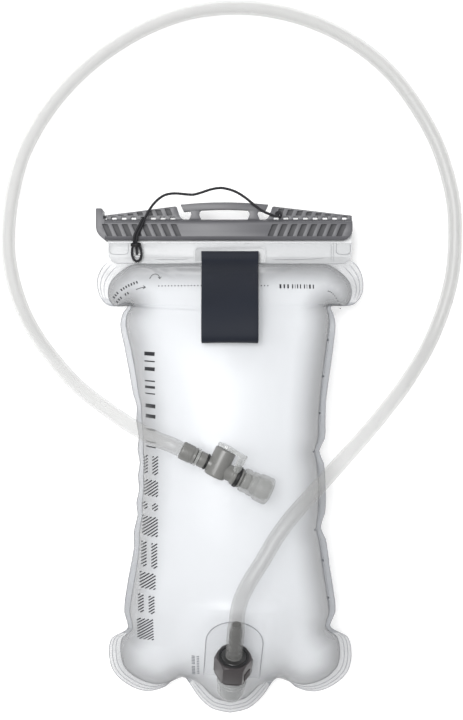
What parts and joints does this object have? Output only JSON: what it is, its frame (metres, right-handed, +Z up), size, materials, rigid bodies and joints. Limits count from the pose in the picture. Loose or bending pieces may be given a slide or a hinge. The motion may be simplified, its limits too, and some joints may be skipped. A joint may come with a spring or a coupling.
{
  "type": "hydration bladder",
  "caption": "Lying film drinking reservoir with a ribbed slide-off closure, hang handle, hand strap, quick-connect outlet and a looped drink tube that ends in a shut-off bite valve.",
  "frame": {"origin": "middle of the reservoir and its closure, on the surface that the filled reservoir lies on; the tube, its mouthpiece and the tether aren't counted", "axes": "+Y from the outlet to the mouth, +X to the right looking down on the front panel, +Z up out of the front panel"},
  "size_m": [0.3111, 0.4794, 0.0891],
  "materials": {
    "film": "clear satin film with soft wrinkles",
    "clear_plastic": "clear moulded plastic",
    "webbing": "woven webbing",
    "bar_plastic": "satin moulded plastic",
    "socket_plastic": "satin moulded plastic",
    "valve_plastic": "smooth satin plastic",
    "black_rubber": "matt rubber",
    "spring_steel": "bright drawn wire",
    "tube": "milky translucent tube",
    "silicone": "clear soft silicone",
    "cord": "braided elastic cord"
  },
  "bodies": {
    "bladder": {"front_panel": "film", "rear_panel": "film", "front_rail": "clear_plastic", "rear_rail": "clear_plastic", "front_collar": "clear_plastic", "rear_collar": "clear_plastic", "tether_eyelet": "clear_plastic", "strap_patch": "clear_plastic", "hand_strap": "webbing", "port_flange": "film", "port_sleeve": "clear_plastic", "port_socket": "socket_plastic", "socket_seal": "black_rubber", "latch_spring": "spring_steel", "poppet_spring": "spring_steel", "tether_cord": "cord", "tether_collar": "black_rubber"},
    "slide_bar": {"slide_bar": "bar_plastic", "tether_knot": "cord"},
    "latch": {"latch_button": "socket_plastic"},
    "poppet": {"shutoff_poppet": "bar_plastic"},
    "tube": {"tube_plug": "bar_plastic", "plug_seal": "black_rubber", "drink_tube": "tube", "tube_ferrule": "valve_plastic", "inlet_barrel": "valve_plastic", "inlet_ring": "clear_plastic", "inlet_seal": "black_rubber"},
    "valve": {"valve_body": "valve_plastic", "valve_cap": "socket_plastic", "outlet_seal": "black_rubber"},
    "lever": {"valve_rotor": "valve_plastic", "valve_lever": "clear_plastic"},
    "bite_valve": {"bite_valve": "silicone"}
  },
  "joints": [
    {"name": "slide_bar_travel", "type": "slide", "parent": "bladder", "child": "slide_bar", "axis": [-1, 0, 0], "range_m": [0, 0.164], "deforming": ["tether_cord", "tether_collar"]},
    {"name": "tube_unplug", "type": "slide", "parent": "bladder", "child": "tube", "axis": [0.0604, 0.8639, 0.5], "range_m": [0, 0.012]},
    {"name": "poppet_lift", "type": "slide", "parent": "bladder", "child": "poppet", "axis": [0.0604, 0.8639, 0.5], "range_m": [0, 0.003], "deforming": ["poppet_spring"]},
    {"name": "latch_press", "type": "slide", "parent": "bladder", "child": "latch", "axis": [-0.8465, 0.3098, -0.433], "range_m": [0, 0.0012], "stiffness_N_per_m": 300, "deforming": ["latch_spring"]},
    {"name": "valve_swivel", "type": "hinge", "parent": "tube", "child": "valve", "pos_m": [-0.0155, 0.00698, 0.07909], "axis": [0.8931, -0.4414, -0.0872], "range_deg": [0, 180]},
    {"name": "lever_turn", "type": "hinge", "parent": "valve", "child": "lever", "pos_m": [-0.0072, 0.00287, 0.07828], "axis": [-0.4431, -0.8965, 0], "range_deg": [0, 90]},
    {"name": "bite_valve_twist", "type": "hinge", "parent": "valve", "child": "bite_valve", "pos_m": [0.01575, -0.00847, 0.07604], "axis": [0.8931, -0.4414, -0.0872], "continuous": true}
  ],
  "couplings": [
    {"joint": "poppet_lift", "follows": "tube_unplug", "ratio": 0.25}
  ]
}
